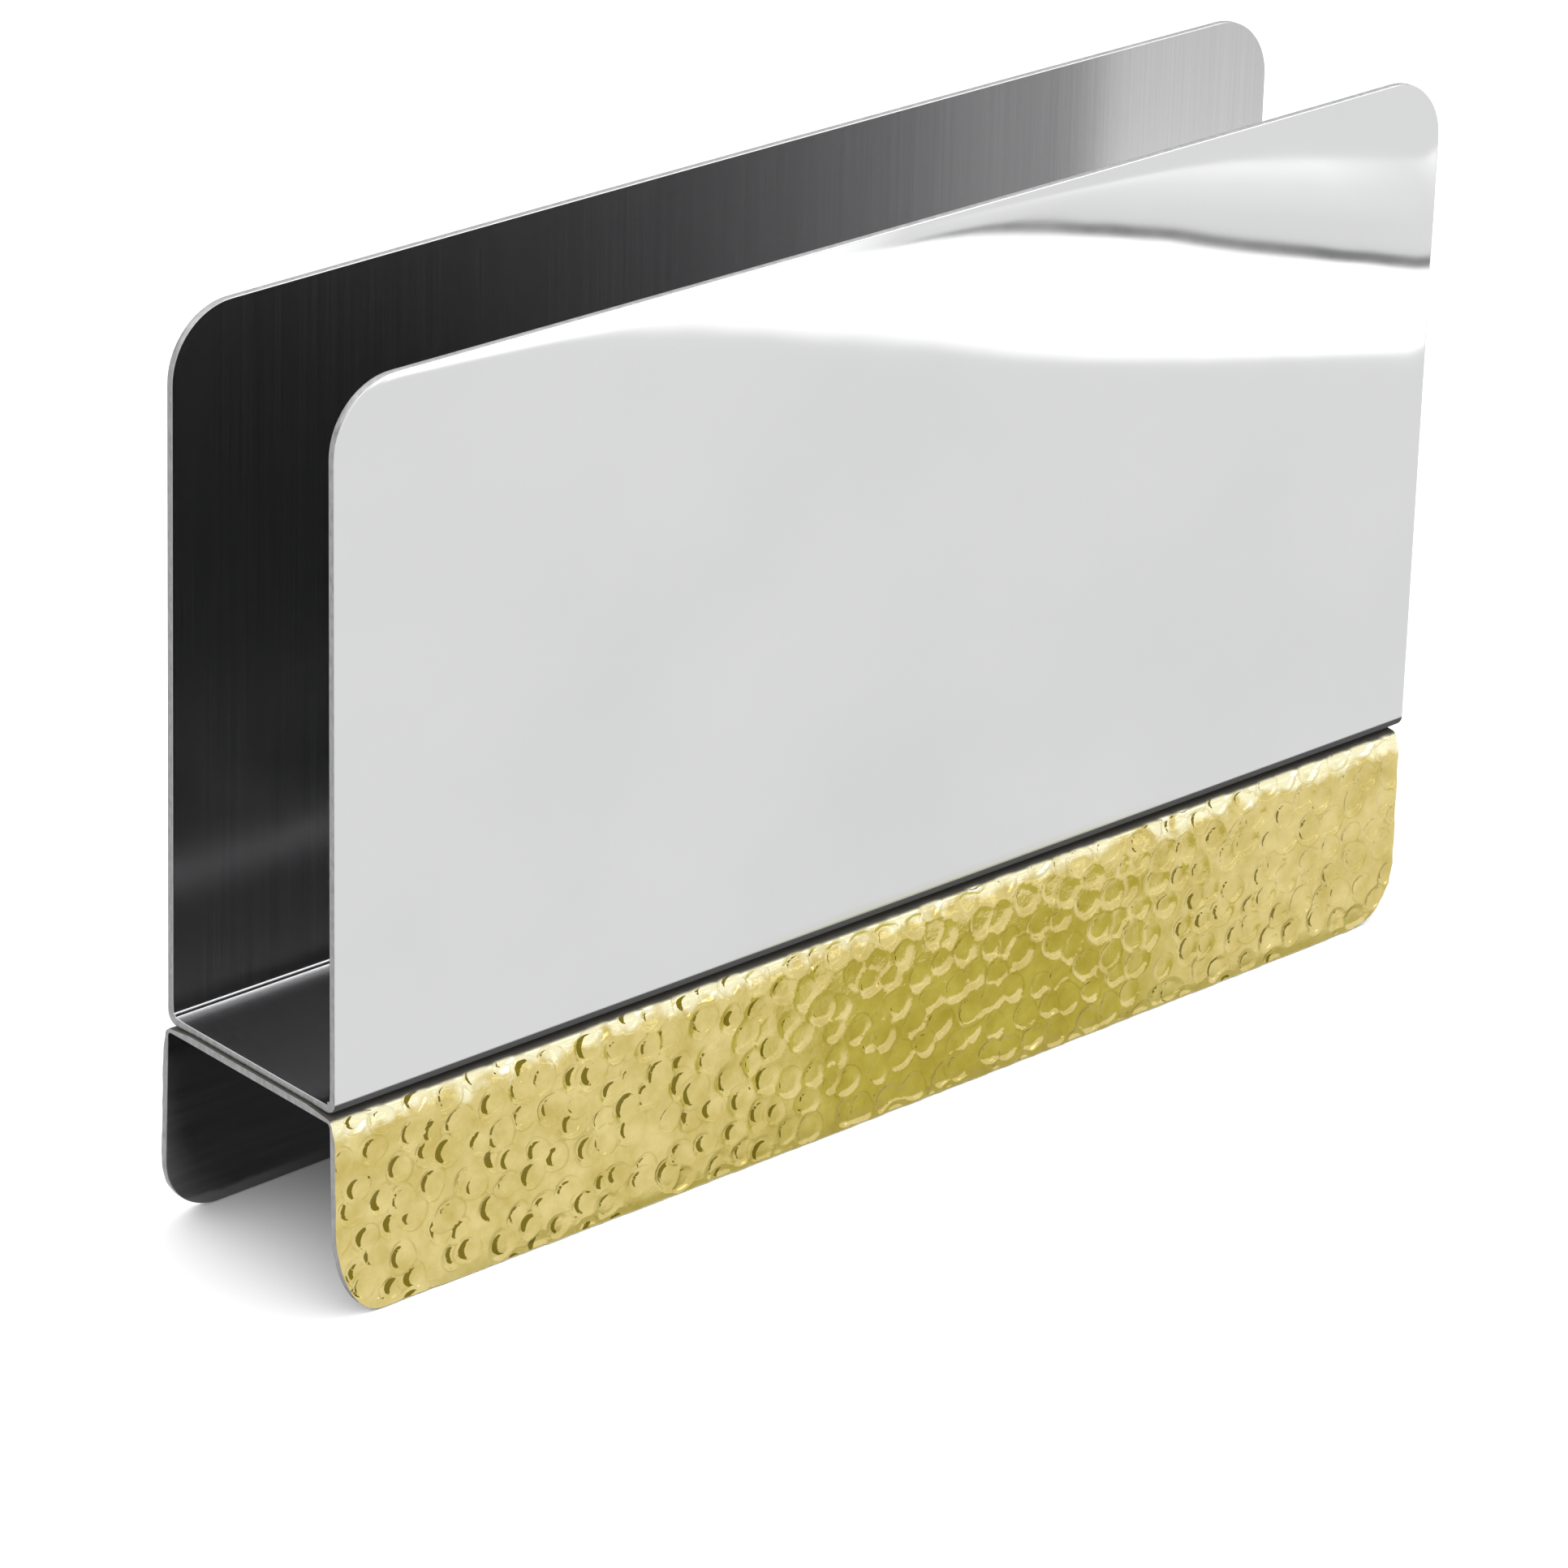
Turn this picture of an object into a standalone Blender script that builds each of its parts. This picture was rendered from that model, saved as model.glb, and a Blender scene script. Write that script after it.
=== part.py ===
"""Upright open napkin holder made of two folded sheet-metal channels.

The polished upper channel stands on the web of a low inverted base channel.
Three flat-headed rivets join the two webs.  Metres, +Z up, length along X,
front wall towards -Y, leg edges on the plane z = 0.
"""
import math

import bmesh
import bpy

# Sheet stock and folding
SHEET = 0.0010
BEND_OUTER = 0.0016
FIT_GAP = 0.0003
BEND_STEPS = 7
CORNER_STEPS = 12

# Upper channel: open at the top and at both ends
HOLDER_LENGTH = 0.1800
HOLDER_WIDTH = 0.0322
HOLDER_HEIGHT = 0.0910
HOLDER_CORNER = 0.0088

# Base channel: open below and at both ends
BASE_LENGTH = 0.1796
BASE_WIDTH = 0.0332
BASE_HEIGHT = 0.0267
BASE_CORNER = 0.0082

# Rivets through both webs
RIVETS = (("rivet_left", -0.045), ("rivet_centre", 0.0), ("rivet_right", 0.045))
SHANK_RADIUS = 0.0015
HOLE_RADIUS = SHANK_RADIUS + FIT_GAP
HEAD_RADIUS = 0.0035
HEAD_HEIGHT = 0.0009
TAIL_RADIUS = 0.0026
TAIL_HEIGHT = 0.0010
RIVET_SEGMENTS = 48

# Levels
BASE_WEB_TOP = BASE_HEIGHT
HOLDER_WEB_BOTTOM = BASE_WEB_TOP + FIT_GAP
HOLDER_WEB_TOP = HOLDER_WEB_BOTTOM + SHEET
BASE_WEB_BOTTOM = BASE_WEB_TOP - SHEET


def clear_scene():
    """Remove every object so the build starts empty."""
    for obj in list(bpy.data.objects):
        bpy.data.objects.remove(obj, do_unlink=True)


def make_material(name, colour, metallic, roughness):
    """Principled material with its own colour, metal and roughness values."""
    material = bpy.data.materials.new(name)
    material.use_nodes = True
    shader = material.node_tree.nodes["Principled BSDF"]
    shader.inputs["Base Color"].default_value = (*colour, 1.0)
    shader.inputs["Metallic"].default_value = metallic
    shader.inputs["Roughness"].default_value = roughness
    material.diffuse_color = (*colour, 1.0)
    return material


def finish_object(name, bm, material):
    """Turn a bmesh into a named object with outward, smooth-shaded faces."""
    bmesh.ops.recalc_face_normals(bm, faces=bm.faces)
    mesh = bpy.data.meshes.new(name)
    bm.to_mesh(mesh)
    bm.free()
    mesh.materials.append(material)
    mesh.shade_smooth()
    mesh.set_sharp_from_angle(angle=math.radians(35.0))
    obj = bpy.data.objects.new(name, mesh)
    bpy.context.collection.objects.link(obj)
    return obj


def wall_stations(height, corner, length):
    """Rows of one wall from its free edge to its bend: (distance from web face, half length)."""
    rows = []
    for step in range(CORNER_STEPS + 1):
        angle = 0.5 * math.pi * (1.0 - step / CORNER_STEPS)
        level = height - corner + corner * math.sin(angle)
        half = 0.5 * length - corner + corner * math.cos(angle)
        rows.append((level, half))
    return rows


def channel_section(width, height, corner, length):
    """Sheet stations (outer y, outer level, inner y, inner level, half length) around a U.

    Level counts from the outside face of the web towards the free edges.
    """
    side = 0.5 * width
    full = 0.5 * length
    half_section = []
    for level, half in wall_stations(height, corner, length):
        half_section.append((-side, level, -side + SHEET, level, half))
    bend_inner = BEND_OUTER - SHEET
    for step in range(BEND_STEPS + 1):
        angle = 0.5 * math.pi * step / BEND_STEPS
        centre = -side + BEND_OUTER
        outer_y = centre - BEND_OUTER * math.cos(angle)
        outer_level = BEND_OUTER - BEND_OUTER * math.sin(angle)
        inner_y = centre - bend_inner * math.cos(angle)
        inner_level = BEND_OUTER - bend_inner * math.sin(angle)
        half_section.append((outer_y, outer_level, inner_y, inner_level, full))
    mirrored = [(-oy, ol, -iy, il, half) for oy, ol, iy, il, half in reversed(half_section)]
    return half_section + mirrored


def make_channel(name, width, height, corner, length, web_face, up, material):
    """One sheet folded into a U.  Its walls run from web_face upwards (up = 1) or downwards (up = -1)."""
    bm = bmesh.new()
    rows = []
    for outer_y, outer_level, inner_y, inner_level, half in channel_section(width, height, corner, length):
        outer_z = web_face + up * outer_level
        inner_z = web_face + up * inner_level
        rows.append((
            bm.verts.new((-half, outer_y, outer_z)),
            bm.verts.new((half, outer_y, outer_z)),
            bm.verts.new((half, inner_y, inner_z)),
            bm.verts.new((-half, inner_y, inner_z)),
        ))
    for row, following in zip(rows, rows[1:]):
        for index in range(4):
            after = (index + 1) % 4
            bm.faces.new((row[index], row[after], following[after], following[index]))
    bm.faces.new(rows[0])
    bm.faces.new(rows[-1])
    return finish_object(name, bm, material)


def make_lathe(name, profile, x, material):
    """Closed round body about a vertical axis from (radius, z) points, both ends on the axis."""
    bm = bmesh.new()
    rings = []
    for radius, z in profile:
        if radius == 0.0:
            rings.append([bm.verts.new((x, 0.0, z))])
            continue
        ring = []
        for segment in range(RIVET_SEGMENTS):
            angle = 2.0 * math.pi * segment / RIVET_SEGMENTS
            ring.append(bm.verts.new((x + radius * math.cos(angle), radius * math.sin(angle), z)))
        rings.append(ring)
    for lower, upper in zip(rings, rings[1:]):
        for segment in range(RIVET_SEGMENTS):
            after = (segment + 1) % RIVET_SEGMENTS
            corners = [lower[segment % len(lower)], lower[after % len(lower)]]
            corners += [upper[after % len(upper)], upper[segment % len(upper)]]
            bm.faces.new(list(dict.fromkeys(corners)))
    return finish_object(name, bm, material)


def rivet_profile():
    """Low rounded head above the holder web, plain shank, upset tail under the base web."""
    head_seat = HOLDER_WEB_TOP + FIT_GAP
    head_top = head_seat + HEAD_HEIGHT
    tail_seat = BASE_WEB_BOTTOM - FIT_GAP
    tail_bottom = tail_seat - TAIL_HEIGHT
    edge = 0.0003
    return (
        (0.0, tail_bottom),
        (TAIL_RADIUS - edge, tail_bottom),
        (TAIL_RADIUS, tail_bottom + edge),
        (TAIL_RADIUS, tail_seat - edge),
        (TAIL_RADIUS - edge, tail_seat),
        (SHANK_RADIUS, tail_seat),
        (SHANK_RADIUS, head_seat),
        (HEAD_RADIUS, head_seat),
        (HEAD_RADIUS, head_seat + 0.35 * HEAD_HEIGHT),
        (0.90 * HEAD_RADIUS, head_seat + 0.68 * HEAD_HEIGHT),
        (0.70 * HEAD_RADIUS, head_seat + 0.88 * HEAD_HEIGHT),
        (0.45 * HEAD_RADIUS, head_top),
        (0.0, head_top),
    )


def make_hole_cutter(x):
    """Vertical cylinder through both webs, hidden from renders."""
    bm = bmesh.new()
    bmesh.ops.create_cone(
        bm,
        cap_ends=True,
        segments=RIVET_SEGMENTS,
        radius1=HOLE_RADIUS,
        radius2=HOLE_RADIUS,
        depth=0.010,
    )
    bmesh.ops.translate(bm, verts=bm.verts, vec=(x, 0.0, BASE_WEB_TOP))
    mesh = bpy.data.meshes.new("hole_cutter")
    bm.to_mesh(mesh)
    bm.free()
    cutter = bpy.data.objects.new("hole_cutter", mesh)
    bpy.context.collection.objects.link(cutter)
    cutter.hide_render = True
    cutter.display_type = "WIRE"
    return cutter


def cut_holes(obj, cutters):
    """Exact boolean difference for each rivet hole."""
    for cutter in cutters:
        modifier = obj.modifiers.new("rivet_hole", "BOOLEAN")
        modifier.operation = "DIFFERENCE"
        modifier.solver = "EXACT"
        modifier.object = cutter


def main():
    """Build the two channels and the rivets that join them."""
    clear_scene()
    polished = make_material("polished_steel", (0.72, 0.72, 0.72), 1.0, 0.12)
    gold = make_material("gold_hammered", (0.78, 0.63, 0.27), 1.0, 0.25)
    holder = make_channel(
        "holder_channel",
        HOLDER_WIDTH,
        HOLDER_HEIGHT,
        HOLDER_CORNER,
        HOLDER_LENGTH,
        HOLDER_WEB_BOTTOM,
        1,
        polished,
    )
    base = make_channel(
        "base_channel",
        BASE_WIDTH,
        BASE_HEIGHT,
        BASE_CORNER,
        BASE_LENGTH,
        BASE_WEB_TOP,
        -1,
        gold,
    )
    cutters = [make_hole_cutter(x) for _, x in RIVETS]
    cut_holes(holder, cutters)
    cut_holes(base, cutters)
    for name, x in RIVETS:
        material = make_material(name + "_steel", (0.60, 0.60, 0.60), 1.0, 0.35)
        make_lathe(name, rivet_profile(), x, material)


main()
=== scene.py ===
"""Looks of the napkin holder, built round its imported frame.

A polished channel of folded sheet stands on a hammered, gold coloured base channel. Both sheets
are remade here at a finer grid, with broken edges, the slight bow of real sheet and the hammer
dents as real relief. Metres, +Z up, length along X, front wall towards -Y.
"""
import math

import bmesh
import bpy
import numpy as np
from mathutils import Matrix, Vector


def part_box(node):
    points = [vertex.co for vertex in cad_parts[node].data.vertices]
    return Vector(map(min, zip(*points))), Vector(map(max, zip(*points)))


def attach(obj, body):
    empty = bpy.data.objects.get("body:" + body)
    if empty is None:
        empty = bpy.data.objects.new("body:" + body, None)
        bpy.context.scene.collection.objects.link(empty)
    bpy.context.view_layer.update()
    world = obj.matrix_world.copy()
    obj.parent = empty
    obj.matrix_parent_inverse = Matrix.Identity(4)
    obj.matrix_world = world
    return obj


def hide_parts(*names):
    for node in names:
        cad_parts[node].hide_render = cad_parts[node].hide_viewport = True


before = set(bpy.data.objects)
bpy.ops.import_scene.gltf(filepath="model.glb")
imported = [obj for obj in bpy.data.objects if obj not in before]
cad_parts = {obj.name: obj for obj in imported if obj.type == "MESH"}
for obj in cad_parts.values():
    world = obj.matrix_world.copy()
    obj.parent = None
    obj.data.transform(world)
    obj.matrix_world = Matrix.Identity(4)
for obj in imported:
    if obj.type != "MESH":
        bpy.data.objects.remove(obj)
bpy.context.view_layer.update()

# Sheet stock and folding, as in the frame
SHEET = 0.0010
BEND = 0.0016
WEB_CONTACT = 0.00028
EDGE_BREAK = 0.00012

# Small departures of the real sheets from their nominal shape
BASE_SHIFT = -0.0006
FRONT_LEAN = (-0.08, -0.44)
BACK_LEAN = (-0.86, 0.47)
FRONT_SPLAY = 1.0
BACK_SPLAY = 2.2
FRONT_BOW = 0.0003
BACK_BOW = 0.0007
LEG_BOW = 0.0005
ROLL_WIDTH = 0.0035
ROLL_DEPTH = 0.00003

# Rounded corners of the free edges: (along x, up the wall), left and right end
HOLDER_CORNERS = (((0.0088, 0.0088), (0.0088, 0.0088)), ((0.0088, 0.0088), (0.0088, 0.0088)))
BASE_CORNERS = (((0.0070, 0.0125), (0.0075, 0.0080)), ((0.0082, 0.0082), (0.0082, 0.0082)))

# Hammer marks, a little out of round: a nearly flat bottom inside an evenly sloping wall, with a low
# lip pushed up outside it
DENT_PITCH = 0.0042
DENT_ROW_PITCH = 0.0038
DENT_SCATTER = 0.30
DENT_RADIUS = 0.0022
DENT_RADIUS_SPREAD = (0.82, 1.10)
DENT_DEPTH = 0.00034
DENT_DEPTH_SPREAD = (0.65, 1.10)
DENT_WALL = 0.00076
DENT_ROUND = 0.15
DENT_BOWL = 0.12
DENT_LIP = 0.00003
DENT_LIP_WIDTH = 0.00038
DENT_SEED = 11

# A new mark wipes out what lies under it, over this width just inside its rim
WIPE_START = 0.00035
WIPE_WIDTH = 0.00045

# Painted shade in a crescent on the left of each mark: its radius as a share of the mark's, its width,
# and the depth of its soft outline
CRESCENT_SHADE_RADIUS = 0.72
CRESCENT_SHADE_WIDTH = 0.00092
CRESCENT_SHADE_SOFTNESS = 0.0008

# The legs turn in softly under the bend before the seam
SHOULDER_HEIGHT = 0.0026
SHOULDER_DEPTH = 0.00046

# The inner corner of the tray is filled to a wider radius than the fold
FILLET_REACH = 0.0024
FILLET_DEPTH = 0.00045

# Heights over which each sheet turns to painted shade, dark, matt and rough, in the seam between them,
# and over which a painted whitish highlight lies on the gold below it, with how ragged that band is and
# how much narrower in the middle
STEEL_SEAM_SHADE = (0.0287, 0.0284)
GOLD_SEAM_SHADE = (0.0259, 0.0264)
PAINTED_HIGHLIGHT_BAND = (0.0238, 0.0252)
PAINTED_HIGHLIGHT_RAGGED = 0.006
PAINTED_HIGHLIGHT_NARROWER = 0.0009

# Level of light on the table as the polished walls see it, and from above
TABLE_TONE = 1.06
WORLD_LIGHT = 2.0

# Camera
CAMERA_PLACE = Vector((-0.5367, -0.5815, 0.3993))
CAMERA_AZIMUTH = math.radians(-42.39)
CAMERA_ELEVATION = math.radians(24.52)
CAMERA_ROLL = math.radians(-1.65)
CAMERA_LENS = 159.1


# ---------------------------------------------------------------- sheet geometry

class Channel:
    """A sheet folded into a U, described by the path distance s along its outside and by x."""

    def __init__(self, node, corners, up, extra=0.0):
        low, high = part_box(node)
        self.length = high.x - low.x
        self.width = high.y - low.y
        self.height = high.z - low.z + extra
        self.middle = 0.5 * (low.x + high.x)
        self.corners = corners
        self.tall = [max(rise for _, rise in pair) for pair in corners]
        self.up = up
        self.face = low.z if up > 0 else high.z + extra
        self.wall = self.height - BEND
        self.arc = 0.5 * math.pi * BEND
        self.web = self.width - 2.0 * BEND
        self.path = 2.0 * (self.wall + self.arc) + self.web

    def section(self, s):
        """Outside of the U at path distance s: y, z and the outward normal's y and z."""
        mirrored = s > 0.5 * self.path
        t = np.where(mirrored, self.path - s, s)
        turn = np.clip((t - self.wall) / BEND, 0.0, 0.5 * math.pi)
        across = np.maximum(t - self.wall - self.arc, 0.0)
        y = -0.5 * self.width + BEND - BEND * np.cos(turn) + across
        level = np.where(t < self.wall, self.height - t, BEND - BEND * np.sin(turn))
        normal_y = -np.cos(turn)
        side = np.where(mirrored, -1.0, 1.0)
        return y * side, self.face + self.up * level, normal_y * side, -self.up * np.sin(turn)

    def rows(self, step, inset, web_steps):
        """Path distances of the grid rows: finer in the rounded corners, coarse across the web."""
        parts = []
        for tall in self.tall:
            steps = max(14, int(round(0.5 * math.pi * tall / step)))
            angles = np.linspace(0.0, 0.5 * math.pi, steps + 1)
            corner = tall - (tall - inset) * np.cos(angles)
            wall_steps = max(2, int(round((self.wall - tall) / step)))
            wall = np.append(np.linspace(tall, self.wall - 0.0002, wall_steps + 1)[1:], self.wall)
            bend = self.wall + np.linspace(0.0, self.arc, 11)[1:]
            parts.append(np.concatenate([corner, wall, bend]))
        web = self.wall + self.arc + np.linspace(0.0, self.web, web_steps + 1)[1:-1]
        return np.concatenate([parts[0], web, self.path - parts[1][::-1]])

    def reach(self, s, inset, side):
        """Half length of the sheet at path distance s towards one end: side 0 left, 1 right."""
        reach = np.empty(s.shape)
        for back in (False, True):
            along, rise = self.corners[int(back)][side]
            chosen = (s > 0.5 * self.path) == back
            t = np.minimum(s, self.path - s)[chosen]
            lift = np.clip((rise - t) / (rise - inset), 0.0, 1.0)
            reach[chosen] = 0.5 * self.length - along + (along - inset) * np.sqrt(1.0 - lift ** 2)
        return reach

    def outline_distance(self, x, s):
        """Distance along the sheet from a point to the sheet's nearest free edge."""
        corner = self.corners[0][0][0]
        t = np.minimum(s, self.path - s)
        along = np.abs(x) - (0.5 * self.length - corner)
        down = corner - t
        rounded = corner - np.hypot(along, down)
        straight = np.minimum(0.5 * self.length - np.abs(x), t)
        return np.where((along > 0.0) & (down > 0.0), rounded, straight)

    def flat_rows(self, s):
        """True for the rows that lie outside the two bends."""
        t = np.minimum(s, self.path - s)
        return (t < 0.98 * self.wall) | (t > self.wall + 1.05 * self.arc)

    def rise(self, s):
        """Height above the bend as a share of the wall, 0 on the web and 1 at the free edge."""
        return np.clip(1.0 - np.minimum(s, self.path - s) / self.wall, 0.0, 1.0)


def column_fractions(count, length):
    """Column places from -1 to 1, evenly spread with one close support column at each end."""
    support = 1.0 - 2.0 * EDGE_BREAK / length
    inner = np.linspace(-support, support, count)
    return np.concatenate([[-1.0], inner, [1.0]])


def build_sheet(name, channel, step, columns, web_steps, shape, materials, shift=0.0, coarse=None):
    """Closed mesh of a folded sheet.

    shape moves its two faces along the normal: shape.outside and shape.inside. Where the shape has
    marks, shape.settle first slides the outer points onto their rims, and shape.tone and
    shape.pool say where their rims and their crescents lie, which take painted shade.
    coarse thins the inner face out to every coarse-th row and column of its flats.
    """
    fractions = column_fractions(columns, channel.length)
    row_count = len(channel.rows(step, 0.0, web_steps))
    column_count = len(fractions)

    def flat_grid(inset):
        s = channel.rows(step, inset, web_steps)
        left = channel.reach(s, inset, 0)
        right = channel.reach(s, inset, 1)
        spread = 0.5 * (fractions[None, :] + 1.0)
        x_grid = (left + right)[:, None] * spread - left[:, None]
        return x_grid, np.repeat(s[:, None], column_count, axis=1)

    def place(x_grid, s_grid, offset):
        y, z, normal_y, normal_z = channel.section(s_grid)
        return np.stack([
            x_grid + channel.middle + shift,
            y + normal_y * offset,
            z + normal_z * offset,
        ], axis=-1).reshape(-1, 3)

    ring = ring_indices(row_count, column_count)
    x_flat, s_flat = flat_grid(EDGE_BREAK)
    x_outer, s_outer = shape.settle(x_flat, s_flat, step)
    push = shape.outside(x_outer, s_outer)
    outer = place(x_outer, s_outer, push)
    inner = place(x_flat, s_flat, shape.inside(x_flat, s_flat) - SHEET)
    blocks = [outer, inner]
    half_break = 0.29 * EDGE_BREAK  # middle of the rounded edge, at 45 degrees
    between = (
        (half_break, half_break),
        (0.0, EDGE_BREAK),
        (0.0, SHEET - EDGE_BREAK),
        (half_break, SHEET - half_break),
    )
    for inset, depth in between:
        x, s = flat_grid(inset)
        share = depth / SHEET
        offset = (1.0 - share) * shape.outside(x, s) + share * shape.inside(x, s) - depth
        blocks.append(place(x, s, offset)[ring])
    points = np.concatenate(blocks)

    grid = row_count * column_count
    faces = []
    slots = []
    quads = grid_quads(row_count, column_count)
    for block in outer_triangles(quads, x_outer, s_outer, push):
        faces.append(block)
        slots.append(np.zeros(len(block), int))
    if coarse:
        inner_faces = thinned_faces(row_count, column_count, channel.flat_rows(s_flat[:, 0]), coarse)
    else:
        inner_faces = [quads]
    for block in inner_faces:
        faces.append(block[:, ::-1] + grid)
        slots.append(np.ones(len(block), int))
    rings = [ring]
    rings += [2 * grid + index * len(ring) + np.arange(len(ring)) for index in range(len(between))]
    rings.append(ring + grid)
    ring_slots = (0, 2, 2, 2, 1)
    for upper, lower, slot in zip(rings, rings[1:], ring_slots):
        strip = np.stack([np.roll(upper, -1), upper, lower, np.roll(lower, -1)], axis=1)
        faces.append(strip)
        slots.append(np.full(len(strip), slot))
    # painted shade on the outer points: along the rims of the marks and in their crescents
    painted_light = {}
    for label, rule in (("rim", shape.tone), ("pool", shape.pool)):
        painted_light[label] = np.zeros(len(points))
        painted_light[label][:grid] = rule(x_outer, s_outer).ravel()
    return mesh_object(name, points, faces, slots, materials, painted_light)


def outer_triangles(quads, x, s, push):
    """Triangles of the outer grid, each quad cut along its more level diagonal."""
    flat_x, flat_s, level = x.ravel(), s.ravel(), push.ravel()

    def area(i, j, k):
        first, second, third = quads[:, i], quads[:, j], quads[:, k]
        across = (flat_x[second] - flat_x[first]) * (flat_s[third] - flat_s[first])
        down = (flat_s[second] - flat_s[first]) * (flat_x[third] - flat_x[first])
        return np.abs(across - down)

    thin_first = np.minimum(area(0, 1, 2), area(0, 2, 3))
    thin_second = np.minimum(area(1, 2, 3), area(1, 3, 0))
    drop_first = np.abs(level[quads[:, 0]] - level[quads[:, 2]])
    drop_second = np.abs(level[quads[:, 1]] - level[quads[:, 3]])
    cut_first = np.where(
        np.minimum(thin_first, thin_second) < 0.15 * np.maximum(thin_first, thin_second),
        thin_first > thin_second,
        drop_first <= drop_second,
    )
    first = quads[cut_first]
    second = quads[~cut_first]
    return [first[:, [0, 1, 2]], first[:, [0, 2, 3]], second[:, [1, 2, 3]], second[:, [1, 3, 0]]]


def thinned_faces(rows, columns, flat, coarse):
    """Faces over every coarse-th grid line, with all the points of the outline kept."""
    row_stops = [0]
    for row in range(1, rows - 1):
        if not flat[row] or row - row_stops[-1] >= coarse:
            row_stops.append(row)
    row_stops.append(rows - 1)
    column_stops = sorted(set(range(0, columns, coarse)) | {columns - 1})
    faces = []
    for top, bottom in zip(row_stops, row_stops[1:]):
        for left, right in zip(column_stops, column_stops[1:]):
            upper = range(left, right) if top == 0 else [left]
            after = range(top, bottom) if right == columns - 1 else [top]
            lower = range(right, left, -1) if bottom == rows - 1 else [right]
            before = range(bottom, top, -1) if left == 0 else [bottom]
            face = [top * columns + column for column in upper]
            face += [row * columns + right for row in after]
            face += [bottom * columns + column for column in lower]
            face += [row * columns + left for row in before]
            faces.append(np.array([face]))
    return faces


def ring_indices(rows, columns):
    """Grid indices of the outline, once round."""
    top = np.arange(columns)
    right = np.arange(1, rows) * columns + columns - 1
    bottom = (rows - 1) * columns + np.arange(columns - 2, -1, -1)
    left = np.arange(rows - 2, 0, -1) * columns
    return np.concatenate([top, right, bottom, left])


def grid_quads(rows, columns):
    """Quads of a rows by columns grid."""
    first = (np.arange(rows - 1)[:, None] * columns + np.arange(columns - 1)[None, :]).ravel()
    return np.stack([first, first + 1, first + columns + 1, first + columns], axis=1)


def mesh_object(name, points, faces, slots, materials, painted_light):
    """Blender object from arrays of faces, smooth shaded, without the points that no face uses."""
    corners = np.concatenate([face.ravel() for face in faces])
    sizes = np.concatenate([np.full(len(face), face.shape[1]) for face in faces])
    used, corners = np.unique(corners, return_inverse=True)
    points = points[used]
    starts = np.concatenate([[0], np.cumsum(sizes)[:-1]])
    mesh = bpy.data.meshes.new(name)
    mesh.vertices.add(len(points))
    mesh.vertices.foreach_set("co", points.astype(np.float32).ravel())
    mesh.loops.add(len(corners))
    mesh.loops.foreach_set("vertex_index", corners.astype(np.int32).ravel())
    mesh.polygons.add(len(sizes))
    mesh.polygons.foreach_set("loop_start", starts.astype(np.int32))
    for material in materials:
        mesh.materials.append(material)
    mesh.polygons.foreach_set("material_index", np.concatenate(slots).astype(np.int32))
    for label, values in painted_light.items():
        layer = mesh.attributes.new(label, "FLOAT", "POINT")
        layer.data.foreach_set("value", values[used].astype(np.float32))
    mesh.update(calc_edges=True)
    mesh.validate()
    body = bmesh.new()
    body.from_mesh(mesh)
    if body.calc_volume(signed=True) < 0.0:
        bmesh.ops.reverse_faces(body, faces=body.faces)
        body.to_mesh(mesh)
    body.free()
    mesh.shade_smooth()
    obj = bpy.data.objects.new(name, mesh)
    bpy.context.scene.collection.objects.link(obj)
    return obj


# ---------------------------------------------------------------- shape of the real sheets

class HolderShape:
    """Lean and bow of the two walls, and the polishing roll-off along the free edges."""

    def __init__(self, channel):
        self.channel = channel

    def bow(self, x, s):
        channel = self.channel
        rise = channel.rise(s)
        place = 0.5 + x / channel.length
        front = s < 0.5 * channel.path
        front_lean = FRONT_LEAN[0] * (1.0 - place) + FRONT_LEAN[1] * place
        back_lean = BACK_LEAN[0] * (1.0 - place) + BACK_LEAN[1] * place
        lean = np.radians(np.where(front, front_lean, back_lean)) * channel.wall * rise
        along = 1.0 - (2.0 * x / channel.length) ** 2
        return lean + np.where(front, FRONT_BOW, BACK_BOW) * rise ** 2 * along

    def inside(self, x, s):
        channel = self.channel
        from_corner = np.abs(np.minimum(s, channel.path - s) - channel.wall - 0.5 * channel.arc)
        return self.bow(x, s) - FILLET_DEPTH * np.clip(1.0 - from_corner / FILLET_REACH, 0.0, 1.0) ** 2

    def outside(self, x, s):
        near = np.clip(1.0 - self.channel.outline_distance(x, s) / ROLL_WIDTH, 0.0, 1.0)
        return self.bow(x, s) - ROLL_DEPTH * near ** 3

    def settle(self, x, s, step):
        return x, s

    def tone(self, x, s):
        return np.zeros(x.shape)

    def pool(self, x, s):
        return np.zeros(x.shape)


def smooth(value):
    """Smooth step from 0 to 1."""
    value = np.clip(value, 0.0, 1.0)
    return value * value * (3.0 - 2.0 * value)


def dent_wall(value):
    """Straight slope from 0 to 1, rounded at both ends."""
    value = np.clip(value, 0.0, 1.0)
    foot = np.minimum(value, DENT_ROUND) ** 2 / (2.0 * DENT_ROUND)
    slope = np.clip(value - DENT_ROUND, 0.0, 1.0 - 2.0 * DENT_ROUND)
    top = np.maximum(value - 1.0 + DENT_ROUND, 0.0)
    return (foot + slope + top - top ** 2 / (2.0 * DENT_ROUND)) / (1.0 - DENT_ROUND)


def spared(away, radius):
    """How much of the earlier surface a mark leaves: 0 well inside its rim, 1 outside."""
    return smooth((away - radius + WIPE_START) / WIPE_WIDTH)


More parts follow.
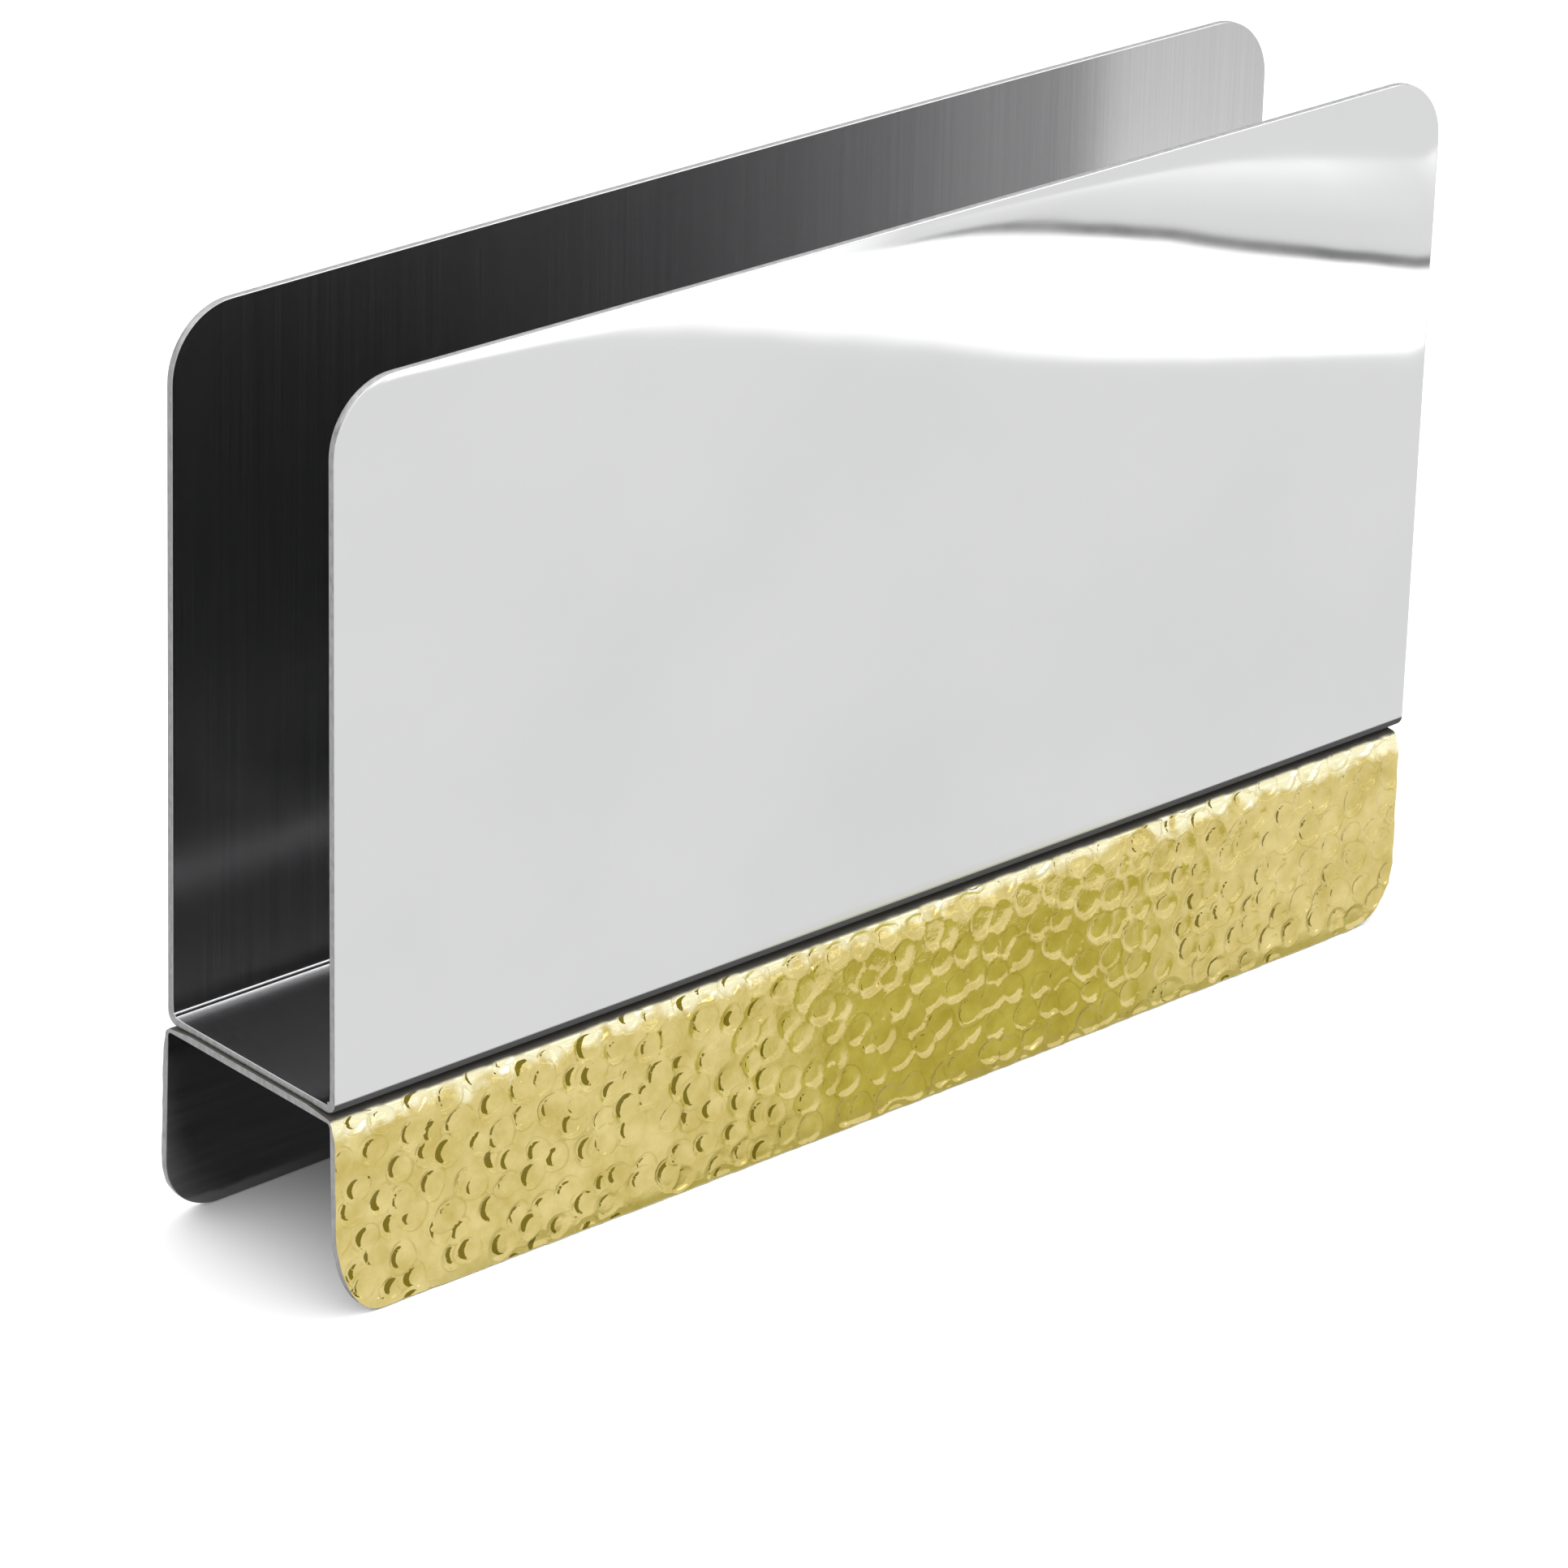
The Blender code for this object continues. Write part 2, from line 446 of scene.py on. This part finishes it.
class BaseShape:
    """Splay and bow of the legs and the hammered relief of the outside."""

    def __init__(self, channel):
        self.channel = channel
        self.marks = self.scatter()

    def scatter(self):
        """Hammer marks over the unrolled outside, in the order struck."""
        rng = np.random.default_rng(DENT_SEED)
        channel = self.channel
        marks = []
        for row in range(int(channel.path / DENT_ROW_PITCH) + 2):
            for column in range(int(channel.length / DENT_PITCH) + 3):
                x = -0.5 * channel.length + (column - 0.5 + 0.5 * (row % 2)) * DENT_PITCH
                s = (row - 0.3) * DENT_ROW_PITCH
                x += rng.uniform(-DENT_SCATTER, DENT_SCATTER) * DENT_PITCH
                s += rng.uniform(-DENT_SCATTER, DENT_SCATTER) * DENT_PITCH
                radius = DENT_RADIUS * rng.uniform(*DENT_RADIUS_SPREAD)
                depth = DENT_DEPTH * rng.uniform(*DENT_DEPTH_SPREAD)
                turns = rng.uniform(0.0, 2.0 * math.pi, 2)
                marks.append((x, s, radius, depth, turns))
        return [marks[index] for index in rng.permutation(len(marks))]

    def open_face(self, x, s):
        """1 where the face is free to show marks, falling to 0 at the sheared edges and the web."""
        channel = self.channel
        inward = np.minimum(s, channel.path - s) - channel.wall - 0.35 * channel.arc
        pressed = 1.0 - smooth(inward / (0.55 * channel.arc))
        return pressed * (0.30 + 0.70 * smooth(channel.outline_distance(x, s) / 0.0009))

    def strokes(self, x, s):
        """Each mark with the rows that it can touch and the offset of their points from it."""
        level = s[:, 0]
        for mark_x, mark_s, radius, depth, turns in self.marks:
            rows = np.flatnonzero(np.abs(level - mark_s) < 1.2 * (radius + 2.0 * DENT_LIP_WIDTH))
            if len(rows):
                block = slice(rows[0], rows[-1] + 1)
                right = x[block] - mark_x
                down = s[block] - mark_s
                angle = np.arctan2(down, right)
                oval = 0.08 * np.cos(2.0 * angle + turns[0]) + 0.05 * np.cos(3.0 * angle + turns[1])
                away = np.hypot(right, down) * (1.0 + oval)
                yield block, away, right, down, radius, depth

    def settle(self, x, s, step):
        """Slide the grid's points onto rings round the mark that was struck last over them."""
        to_right = np.zeros(x.shape)
        to_down = np.zeros(x.shape)
        owner_away = np.full(x.shape, DENT_RADIUS)
        off = np.full(x.shape, -np.inf)
        for block, away, right, down, radius, _ in self.strokes(x, s):
            struck = away < radius + 1.6 * DENT_LIP_WIDTH
            to_right[block][struck] = right[struck]
            to_down[block][struck] = down[struck]
            owner_away[block][struck] = away[struck]
            off[block][struck] = (away - radius)[struck]
        near_rim = (off > -1.2 * DENT_WALL) & (self.open_face(x, s) > 0.999)
        off = np.where(near_rim, off, 0.0)
        move = np.round(off / step) * step - off
        share = np.clip(move, -0.40 * step, 0.40 * step) / np.maximum(owner_away, 0.5 * DENT_RADIUS)
        gaps = np.diff(s[:, 0])
        room = 0.40 * np.minimum(np.append(gaps, gaps[-1]), np.append(gaps[0], gaps))[:, None]
        return x + to_right * share, s + np.clip(to_down * share, -room, room)

    def inside(self, x, s):
        channel = self.channel
        splay = np.where(s < 0.5 * channel.path, FRONT_SPLAY, BACK_SPLAY)
        along = 1.0 - (2.0 * x / channel.length) ** 2
        return (np.radians(splay) * channel.wall + LEG_BOW * along) * channel.rise(s)

    def shoulder(self, s):
        """How far the outside turns in under the bend, fading out again along the web."""
        channel = self.channel
        t = np.minimum(s, channel.path - s)
        climb = np.clip((t - channel.wall + SHOULDER_HEIGHT) / SHOULDER_HEIGHT, 0.0, 1.0)
        return SHOULDER_DEPTH * climb ** 2 * (1.0 - smooth((t - channel.wall - channel.arc) / 0.002))

    def outside(self, x, s):
        relief = np.zeros(x.shape)
        for block, away, _, _, radius, depth in self.strokes(x, s):
            wall = dent_wall((radius - away) / DENT_WALL)
            bowl = np.clip(1.0 - away / radius, 0.0, 1.0)
            lip = np.clip(1.0 - np.abs(away - radius) / DENT_LIP_WIDTH, 0.0, 1.0)
            relief[block] *= spared(away, radius)
            relief[block] -= depth * (wall + DENT_BOWL * bowl)
            relief[block] += DENT_LIP * lip
        return relief * self.open_face(x, s) + self.inside(x, s) - self.shoulder(s)

    def tone(self, x, s):
        """1 along the rims of the marks, where painted shade goes, 0 elsewhere."""
        tone = np.zeros(x.shape)
        for block, away, _, _, radius, _ in self.strokes(x, s):
            line = np.clip(1.0 - np.abs(away - radius) / (0.7 * DENT_LIP_WIDTH), 0.0, 1.0)
            tone[block] = np.maximum(tone[block] * spared(away, radius), line)
        return tone * self.open_face(x, s)

    def pool(self, x, s):
        """Above 0.5 inside the crescents of painted shade, below it elsewhere.

        They are widest at the left of each leg, seen from outside, and thin past its middle.
        """
        pool = np.full(x.shape, -1.0)
        side = np.where(s < 0.5 * self.channel.path, 1.0, -1.0)
        rng = np.random.default_rng(DENT_SEED + 1)
        for block, away, right, down, radius, _ in self.strokes(x, s):
            outer = CRESCENT_SHADE_RADIUS * radius * rng.uniform(0.75, 1.1)
            place = x[block] * side[block]
            share = 1.0 - 0.72 * smooth((place + 0.030) / 0.020)
            share += 0.42 * smooth((place - 0.038) / 0.012) * smooth((0.090 - place) / 0.035)
            width = CRESCENT_SHADE_WIDTH * rng.uniform(0.35, 1.25) * share
            tilt = rng.uniform(0.0, 0.7)
            across = right * side[block] * math.cos(tilt) - down * math.sin(tilt)
            along = right * side[block] * math.sin(tilt) + down * math.cos(tilt)
            inside = outer - np.hypot(across, along)
            beyond = np.hypot(across - width, along) - outer
            struck = away < radius
            pool[block] = np.where(struck, np.minimum(inside, beyond) / CRESCENT_SHADE_SOFTNESS, pool[block])
        return 0.5 + pool * self.open_face(x, s)


# ---------------------------------------------------------------- materials

def new_material(name):
    """Empty node material with a Principled shader and object coordinates."""
    material = bpy.data.materials.new(name)
    material.use_nodes = True
    tree = material.node_tree
    shader = tree.nodes["Principled BSDF"]
    coordinates = tree.nodes.new("ShaderNodeTexCoord")
    return material, tree, shader, coordinates


def scaled_noise(tree, coordinates, scale, detail, roughness=0.5):
    """Noise in object space with its own scale along each axis."""
    mapping = tree.nodes.new("ShaderNodeMapping")
    mapping.inputs["Scale"].default_value = scale
    tree.links.new(coordinates.outputs["Object"], mapping.inputs["Vector"])
    noise = tree.nodes.new("ShaderNodeTexNoise")
    noise.inputs["Scale"].default_value = 1.0
    noise.inputs["Detail"].default_value = detail
    noise.inputs["Roughness"].default_value = roughness
    tree.links.new(mapping.outputs["Vector"], noise.inputs["Vector"])
    return noise.outputs["Fac"]


def ramp(tree, factor, stops):
    """Colour ramp through (position, grey or colour) stops."""
    node = tree.nodes.new("ShaderNodeValToRGB")
    elements = node.color_ramp.elements
    while len(elements) < len(stops):
        elements.new(0.5)
    for element, (position, value) in zip(elements, stops):
        colour = value if isinstance(value, tuple) else (value, value, value)
        element.position = position
        element.color = (*colour, 1.0)
    tree.links.new(factor, node.inputs["Fac"])
    return node.outputs["Color"]


def add_bump(tree, shader, height, strength, distance):
    """Bump from a height output."""
    bump = tree.nodes.new("ShaderNodeBump")
    bump.inputs["Strength"].default_value = strength
    bump.inputs["Distance"].default_value = distance
    tree.links.new(height, bump.inputs["Height"])
    tree.links.new(bump.outputs["Normal"], shader.inputs["Normal"])


def blend(tree, factor, below, above):
    """Colour that goes from an output to a plain one by a factor."""
    mix = tree.nodes.new("ShaderNodeMix")
    mix.data_type = "RGBA"
    tree.links.new(factor, mix.inputs["Factor"])
    tree.links.new(below, mix.inputs["A"])
    mix.inputs["B"].default_value = (*above, 1.0)
    return mix.outputs["Result"]


def product(tree, first, second):
    """Product of two outputs."""
    node = tree.nodes.new("ShaderNodeMath")
    node.operation = "MULTIPLY"
    tree.links.new(first, node.inputs[0])
    tree.links.new(second, node.inputs[1])
    return node.outputs["Value"]


def shifted(tree, noise, amount, value):
    """A value moved by an amount of noise."""
    node = tree.nodes.new("ShaderNodeMath")
    node.operation = "MULTIPLY_ADD"
    node.inputs[1].default_value = amount
    tree.links.new(noise, node.inputs[0])
    tree.links.new(value, node.inputs[2])
    return node.outputs["Value"]


def point_value(tree, label):
    """Value stored on the points of the mesh."""
    node = tree.nodes.new("ShaderNodeAttribute")
    node.attribute_name = label
    return node.outputs["Fac"]


def seam_shade(tree, shader, coordinates, colour, roughness, stops, shade_colour):
    """Metal that gives way to painted shade, dark, matt and rough, over a band of heights in the seam
    between the sheets.
    """
    split = tree.nodes.new("ShaderNodeSeparateXYZ")
    tree.links.new(coordinates.outputs["Object"], split.inputs["Vector"])
    span = tree.nodes.new("ShaderNodeMapRange")
    span.interpolation_type = "SMOOTHSTEP"
    span.inputs["From Min"].default_value = stops[0]
    span.inputs["From Max"].default_value = stops[1]
    tree.links.new(split.outputs["Z"], span.inputs["Value"])
    metal = tree.nodes.new("ShaderNodeMapRange")
    metal.inputs["To Min"].default_value = 1.0
    metal.inputs["To Max"].default_value = 0.0
    tree.links.new(span.outputs["Result"], metal.inputs["Value"])
    tree.links.new(metal.outputs["Result"], shader.inputs["Metallic"])
    tree.links.new(shifted(tree, span.outputs["Result"], 0.8, roughness), shader.inputs["Roughness"])
    tree.links.new(blend(tree, span.outputs["Result"], colour, shade_colour), shader.inputs["Base Color"])


def polished_steel():
    """Bright polished outside: faint cloudiness, with painted shade in the seam above the base."""
    material, tree, shader, coordinates = new_material("polished_steel_outside")
    clouds = scaled_noise(tree, coordinates, (24.0, 24.0, 30.0), 4.0)
    colour = ramp(tree, clouds, ((0.3, (0.618, 0.620, 0.625)), (0.7, (0.655, 0.656, 0.660))))
    haze = scaled_noise(tree, coordinates, (45.0, 45.0, 45.0), 5.0)
    roughness = ramp(tree, haze, ((0.35, 0.035), (0.75, 0.055)))
    # painted shade in the seam above the base: the steel turns dark, matt and rough
    seam_shade(tree, shader, coordinates, colour, roughness, STEEL_SEAM_SHADE, (0.035, 0.035, 0.038))
    add_bump(tree, shader, scaled_noise(tree, coordinates, (60.0, 60.0, 60.0), 1.0), 0.03, 0.0003)
    return material


def grained_metal(name, scale, detail, raggedness, tones, roughness, bump):
    """Bare metal with one grain in its tone, its roughness and its surface."""
    material, tree, shader, coordinates = new_material(name)
    shader.inputs["Metallic"].default_value = 1.0
    grain = scaled_noise(tree, coordinates, scale, detail, raggedness)
    tree.links.new(ramp(tree, grain, ((0.3, tones[0]), (0.7, tones[1]))), shader.inputs["Base Color"])
    tree.links.new(ramp(tree, grain, ((0.3, roughness[0]), (0.7, roughness[1]))), shader.inputs["Roughness"])
    add_bump(tree, shader, grain, *bump)
    return material


def brushed_steel():
    """Inside of the polished sheet: satin, brushed up and down the walls; its tone, darker than the
    outside's, is painted shade of the tray's inside.
    """
    tones = ((0.44, 0.44, 0.445), (0.475, 0.475, 0.48))
    return grained_metal("brushed_steel_inside", (2600.0, 26.0, 26.0), 6.0, 0.62, tones, (0.19, 0.225),
                         (0.12, 0.00003))


def sheared_edge():
    """Cut edge of the sheet: fine lines along the cut."""
    return grained_metal("sheared_edge", (1500.0, 1500.0, 700.0), 4.0, 0.5, (0.24, 0.36), (0.30, 0.45),
                         (0.3, 0.00004))


def bare_steel():
    """Inside of the base: matt rolled sheet, in a dark tone that is painted shade of the tunnel between the
    legs.
    """
    return grained_metal("bare_steel_inside", (60.0, 900.0, 900.0), 5.0, 0.6, (0.15, 0.20), (0.17, 0.26),
                         (0.1, 0.00004))


def rivet_steel():
    """Bright rivet with a fine even grain in its tone, roughness and surface."""
    return grained_metal("rivet_metal", (700.0, 700.0, 700.0), 5.0, 0.5, (0.50, 0.64), (0.22, 0.36),
                         (0.15, 0.00005))


def hammered_gold():
    """Gold outside of the base: mottled, with a painted whitish highlight under the bend, and olive painted
    shade along the rims of the marks and in crescents inside them.
    """
    material, tree, shader, coordinates = new_material("hammered_gold_outside")
    mottle = scaled_noise(tree, coordinates, (260.0, 260.0, 260.0), 5.0, 0.6)
    colour = ramp(tree, mottle, ((0.3, (0.545, 0.430, 0.125)), (0.7, (0.725, 0.600, 0.255))))
    # painted highlight: a ragged whitish band of heights under the bend, narrower in the middle of the
    # length
    split = tree.nodes.new("ShaderNodeSeparateXYZ")
    tree.links.new(coordinates.outputs["Object"], split.inputs["Vector"])
    ragged = scaled_noise(tree, coordinates, (330.0, 330.0, 330.0), 2.0)
    painted_light = shifted(tree, ragged, PAINTED_HIGHLIGHT_RAGGED, split.outputs["Z"])
    middle = tree.nodes.new("ShaderNodeMath")
    middle.operation = "COMPARE"
    middle.inputs[1].default_value = 0.026
    middle.inputs[2].default_value = 0.034
    tree.links.new(shifted(tree, ragged, 0.030, split.outputs["X"]), middle.inputs[0])
    painted_light = shifted(tree, middle.outputs["Value"], -PAINTED_HIGHLIGHT_NARROWER, painted_light)
    painted_highlight = tree.nodes.new("ShaderNodeMapRange")
    painted_highlight.inputs["From Min"].default_value = PAINTED_HIGHLIGHT_BAND[0] + 0.5 * PAINTED_HIGHLIGHT_RAGGED
    painted_highlight.inputs["From Max"].default_value = PAINTED_HIGHLIGHT_BAND[1] + 0.5 * PAINTED_HIGHLIGHT_RAGGED
    painted_highlight.inputs["To Max"].default_value = 0.9
    tree.links.new(painted_light, painted_highlight.inputs["Value"])
    colour = blend(tree, painted_highlight.outputs["Result"], colour, (0.93, 0.88, 0.60))
    # painted shade along the rims of the marks, olive, broken up by noise
    rim = ramp(tree, point_value(tree, "rim"), ((0.45, 0.0), (1.0, 0.45)))
    gaps = ramp(tree, ragged, ((0.42, 0.0), (0.62, 1.0)))
    colour = blend(tree, product(tree, rim, gaps), colour, (0.36, 0.28, 0.05))
    # painted shade in a crescent inside each mark, dark olive brown, with a noisy outline
    outline = scaled_noise(tree, coordinates, (1100.0, 1100.0, 1100.0), 3.0)
    pool = shifted(tree, outline, 0.5, point_value(tree, "pool"))
    colour = blend(tree, ramp(tree, pool, ((0.76, 0.0), (0.86, 1.0))), colour, (0.185, 0.142, 0.012))
    fine = scaled_noise(tree, coordinates, (900.0, 900.0, 900.0), 4.0)
    roughness = ramp(tree, fine, ((0.3, 0.06), (0.7, 0.11)))
    # painted shade in the seam under the holder: the gold turns dark, matt and rough
    seam_shade(tree, shader, coordinates, colour, roughness, GOLD_SEAM_SHADE, (0.055, 0.05, 0.04))
    uneven = scaled_noise(tree, coordinates, (460.0, 460.0, 460.0), 4.0, 0.6)
    add_bump(tree, shader, uneven, 0.5, 0.00020)
    return material


# ---------------------------------------------------------------- studio

def stage_mesh(name, corners, faces, material):
    """Stage object from a few faces."""
    mesh = bpy.data.meshes.new(name)
    mesh.from_pydata(corners, [], faces)
    mesh.materials.append(material)
    card = bpy.data.objects.new(name, mesh)
    bpy.context.scene.collection.objects.link(card)
    return card


def matte(name, albedo):
    """Plain matte surface."""
    material = bpy.data.materials.new(name)
    material.use_nodes = True
    shader = material.node_tree.nodes["Principled BSDF"]
    shader.inputs["Base Color"].default_value = (albedo, albedo, albedo, 1.0)
    shader.inputs["Roughness"].default_value = 0.9
    shader.inputs["Specular IOR Level"].default_value = 0.0
    return material


def area_light(name, place, target, size, power):
    """Square soft box aimed at a point."""
    data = bpy.data.lights.new(name, "AREA")
    data.shape = "RECTANGLE"
    data.size = size
    data.size_y = size
    data.energy = power
    light = bpy.data.objects.new(name, data)
    light.location = place
    light.rotation_euler = (Vector(target) - Vector(place)).to_track_quat("-Z", "Y").to_euler()
    bpy.context.scene.collection.objects.link(light)


def glossy_only(card):
    """Card that is seen in polished metal and nowhere else."""
    card.visible_camera = False
    card.visible_diffuse = False
    card.visible_shadow = False
    card.visible_transmission = False


def glow_material(name, colour, strength, cover):
    """Glow that covers what lies behind it by the share that cover(tree) returns."""
    material = bpy.data.materials.new(name)
    material.use_nodes = True
    tree = material.node_tree
    tree.nodes.clear()
    clear = tree.nodes.new("ShaderNodeBsdfTransparent")
    glow = tree.nodes.new("ShaderNodeEmission")
    glow.inputs["Color"].default_value = (*colour, 1.0)
    glow.inputs["Strength"].default_value = strength
    mix = tree.nodes.new("ShaderNodeMixShader")
    tree.links.new(cover(tree), mix.inputs["Fac"])
    tree.links.new(clear.outputs["BSDF"], mix.inputs[1])
    tree.links.new(glow.outputs["Emission"], mix.inputs[2])
    output = tree.nodes.new("ShaderNodeOutputMaterial")
    tree.links.new(mix.outputs["Shader"], output.inputs["Surface"])
    return material


def smooth_line(points, count):
    """Places along a Catmull-Rom curve through table points."""
    points = np.array(points)
    padded = np.vstack([2.0 * points[0] - points[1], points, 2.0 * points[-1] - points[-2]])
    place = np.linspace(0.0, len(points) - 1.000001, count)
    first = place.astype(int)
    u = (place - first)[:, None]
    a, b, c, d = (padded[first + index] for index in range(4))
    linear = (c - a) * u
    square = (2.0 * a - 5.0 * b + 4.0 * c - d) * u ** 2
    cubic = (3.0 * b - a - 3.0 * c + d) * u ** 3
    return 0.5 * (2.0 * b + linear + square + cubic)


def table_card(name, near, far, height, colour, strength, across, along=((0.0, 1.0), (1.0, 1.0))):
    """Card lying between two lines on the table, seen in polished metal only.

    Its cover is the product of a fade across it, from the near line to the far one, and a fade along it.
    """
    count = 25
    sides = [smooth_line(line, count) for line in (near, far)]
    corners = [(*point, height) for side in sides for point in side]
    faces = [(i, i + 1, count + i + 1, count + i) for i in range(count - 1)]

    def cover(tree):
        coordinates = tree.nodes.new("ShaderNodeTexCoord")
        split = tree.nodes.new("ShaderNodeSeparateXYZ")
        tree.links.new(coordinates.outputs["UV"], split.inputs["Vector"])
        return product(tree, ramp(tree, split.outputs["X"], along), ramp(tree, split.outputs["Y"], across))

    card = stage_mesh(name, corners, faces, glow_material(name, colour, strength, cover))
    share = card.data.uv_layers.new(name="share")
    for loop in card.data.loops:
        side, index = divmod(loop.vertex_index, count)
        share.data[loop.index].uv = (index / (count - 1), side)
    glossy_only(card)


def tone_card():
    """The whole table as the metal sees it: an even tone round the object, fading out far away."""
    hole = (0.0908, 0.0172)
    rim = (1.6, 1.6)
    signs = ((-1, -1), (1, -1), (1, 1), (-1, 1))
    corners = [(x * size[0], y * size[1], 0.00004) for size in (hole, rim) for x, y in signs]
    faces = [(i, (i + 1) % 4, 4 + (i + 1) % 4, 4 + i) for i in range(4)]

    def cover(tree):
        coordinates = tree.nodes.new("ShaderNodeTexCoord")
        length = tree.nodes.new("ShaderNodeVectorMath")
        length.operation = "LENGTH"
        tree.links.new(coordinates.outputs["Object"], length.inputs[0])
        return ramp(tree, length.outputs["Value"], ((0.0, 1.0), (0.7, 1.0), (1.0, 0.6)))

    glow = glow_material("table_tone", (1.0, 1.0, 1.0), TABLE_TONE, cover)
    glossy_only(stage_mesh("table_tone", corners, faces, glow))


def build_world():
    """White light from above, the tone of the table from the sides."""
    world = bpy.data.worlds.new("studio_world")
    world.use_nodes = True
    tree = world.node_tree
    background = tree.nodes["Background"]
    background.inputs["Strength"].default_value = WORLD_LIGHT
    coordinates = tree.nodes.new("ShaderNodeTexCoord")
    split = tree.nodes.new("ShaderNodeSeparateXYZ")
    tree.links.new(coordinates.outputs["Generated"], split.inputs["Vector"])
    low = TABLE_TONE / WORLD_LIGHT
    tree.links.new(ramp(tree, split.outputs["Z"], ((0.0, low), (0.40, low), (0.50, 1.0))),
                   background.inputs["Color"])
    bpy.context.scene.world = world


def build_studio():
    """White table, even world light, a soft box, and cards on the table that the metal mirrors."""
    floor_corners = [(-4, -4, 0), (4, -4, 0), (4, 4, 0), (-4, 4, 0)]
    floor = stage_mesh("studio_floor", floor_corners, [(0, 1, 2, 3)], matte("floor_white", 0.85))
    floor.location.z = -0.0001
    build_world()
    area_light("key_light", (0.75, -0.45, 1.0), (0.0, 0.0, 0.03), 0.6, 3.0)
    tone_card()

    white = (1.0, 1.0, 1.0)
    full = ((0.0, 1.0), (1.0, 1.0))
    glow_start = [(0.068, -0.324), (0.135, -0.256), (0.179, -0.211), (0.202, -0.187), (0.250, -0.161),
                  (0.400, -0.085)]
    glow_end = [(0.120, -0.360), (0.250, -0.345), (0.345, -0.190), (0.500, -0.045)]
    gap_start = [(0.150, -0.280), (0.197, -0.255), (0.224, -0.242), (0.250, -0.223), (0.282, -0.188),
                 (0.430, -0.045)]
    gap_width = Vector((0.0040, -0.0046))
    gap_end = [tuple(Vector(point) + gap_width) for point in gap_start]
    ground_end = [(point[0] + 0.16, point[1] - 0.17) for point in gap_start]
    gleam_start = [(0.215, -0.262), (0.262, -0.231), (0.292, -0.207), (0.335, -0.180)]
    gleam_end = [(0.235, -0.275), (0.285, -0.246), (0.309, -0.236), (0.350, -0.215)]
    from_line = ((0.0, 0.0), (0.24, 0.0), (0.40, 1.0), (1.0, 1.0))
    table_card("edge_glow", glow_start, glow_end, 0.00008, white, 2.0, ((0.0, 0.0), (0.07, 1.0), (1.0, 1.0)))
    table_card("edge_gap", gap_start, gap_end, 0.00012, white, 0.18, full, from_line)
    table_card("far_ground", gap_end, ground_end, 0.00010, white, 1.08, full,
               ((0.0, 0.0), (0.16, 0.0), (0.32, 1.0), (1.0, 1.0)))
    table_card("far_gleam", gleam_start, gleam_end, 0.00014, white, 1.55,
               ((0.0, 0.0), (0.55, 0.35), (0.85, 0.9), (0.92, 1.0), (1.0, 0.0)),
               ((0.0, 0.0), (0.25, 0.8), (0.66, 1.0), (0.78, 0.35), (0.88, 0.9), (1.0, 0.8)))

    # yellow light thrown back by the base dims and tints the table in front of its middle
    table_card("gold_cast", [(-0.034, -0.0168), (0.056, -0.0168)], [(0.010, -0.0626), (0.100, -0.0626)],
               0.00008, (0.66, 0.66, 0.27), TABLE_TONE, ((0.0, 1.0), (0.80, 1.0), (1.0, 0.0)),
               ((0.0, 0.0), (0.26, 1.0), (0.76, 1.0), (1.0, 0.0)))

    # the table right in front of the base, and in the tunnel between its legs, is darker
    table_card("foot_shade", [(-0.076, -0.0168), (0.130, -0.0168)], [(-0.076, -0.0208), (0.130, -0.0208)],
               0.00012, (0.66, 0.66, 0.42), 1.0, ((0.0, 1.0), (0.4, 1.0), (1.0, 0.0)),
               ((0.0, 0.3), (0.12, 1.0), (0.85, 0.9), (1.0, 0.0)))
    table_card("tunnel_shade", [(-0.088, 0.0150), (0.089, 0.0150)], [(-0.088, -0.0150), (0.089, -0.0150)],
               0.00008, white, 0.08, full, ((0.0, 0.5), (0.06, 1.0), (0.94, 1.0), (1.0, 0.5)))


def build_camera():
    """Camera at the stated place, azimuth, elevation and roll."""
    data = bpy.data.cameras.new("camera")
    data.lens = CAMERA_LENS
    data.sensor_width = 36.0
    data.clip_start = 0.05
    data.clip_end = 20.0
    camera = bpy.data.objects.new("camera", data)
    forward = Vector((
        -math.sin(CAMERA_AZIMUTH) * math.cos(CAMERA_ELEVATION),
        math.cos(CAMERA_AZIMUTH) * math.cos(CAMERA_ELEVATION),
        -math.sin(CAMERA_ELEVATION),
    ))
    level_right = forward.cross(Vector((0.0, 0.0, 1.0))).normalized()
    level_down = forward.cross(level_right)
    right = math.cos(CAMERA_ROLL) * level_right + math.sin(CAMERA_ROLL) * level_down
    down = -math.sin(CAMERA_ROLL) * level_right + math.cos(CAMERA_ROLL) * level_down
    turn = Matrix((right, -down, -forward)).transposed()
    camera.matrix_world = Matrix.Translation(CAMERA_PLACE) @ turn.to_4x4()
    bpy.context.scene.collection.objects.link(camera)
    bpy.context.scene.camera = camera


# ---------------------------------------------------------------- assembly

build_camera()
bpy.context.scene.view_settings.view_transform = "Standard"

holder = Channel("holder_channel", HOLDER_CORNERS, 1)
edge = sheared_edge()
holder_sheet = build_sheet("holder_sheet", holder, 0.0012, 150, 16, HolderShape(holder),
                           (polished_steel(), brushed_steel(), edge))
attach(holder_sheet, "root")
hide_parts("holder_channel")

base = Channel("base_channel", BASE_CORNERS, -1, WEB_CONTACT)
base_sheet = build_sheet("base_sheet", base, 0.00039, 460, 8, BaseShape(base),
                         (hammered_gold(), bare_steel(), edge), BASE_SHIFT, 12)
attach(base_sheet, "root")
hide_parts("base_channel")

rivet_metal = rivet_steel()
for node in ("rivet_left", "rivet_centre", "rivet_right"):
    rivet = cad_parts[node]
    rivet.data.materials.clear()
    rivet.data.materials.append(rivet_metal)

build_studio()
